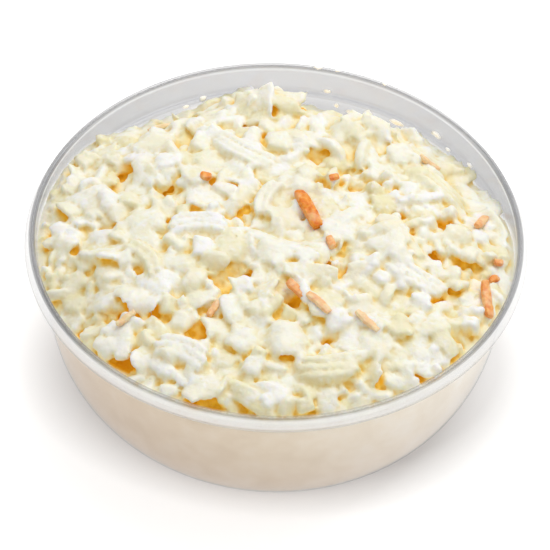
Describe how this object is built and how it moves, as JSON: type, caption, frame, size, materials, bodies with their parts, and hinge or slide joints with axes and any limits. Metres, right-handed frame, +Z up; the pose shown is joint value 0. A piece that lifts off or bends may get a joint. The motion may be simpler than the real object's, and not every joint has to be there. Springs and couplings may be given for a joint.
{
  "type": "coleslaw in a clear deli cup",
  "caption": "Round clear plastic deli cup with a turned-over lip, heaped to the brim with creamy chopped coleslaw flecked with carrot.",
  "frame": {"origin": "centre of the cup's foot ring, on the surface that it stands on", "axes": "+Z up along the cup's axis, -Y to the front, +Y to the back where the slaw has slumped from the wall"},
  "size_m": [0.1172, 0.1172, 0.0501],
  "materials": {
    "clear_plastic": "clear glossy thermoformed sheet",
    "dressed_cabbage": "moist chopped cabbage in creamy dressing, with orange carrot shreds"
  },
  "bodies": {
    "root": {"cup": "clear_plastic", "coleslaw": "dressed_cabbage"}
  },
  "joints": []
}
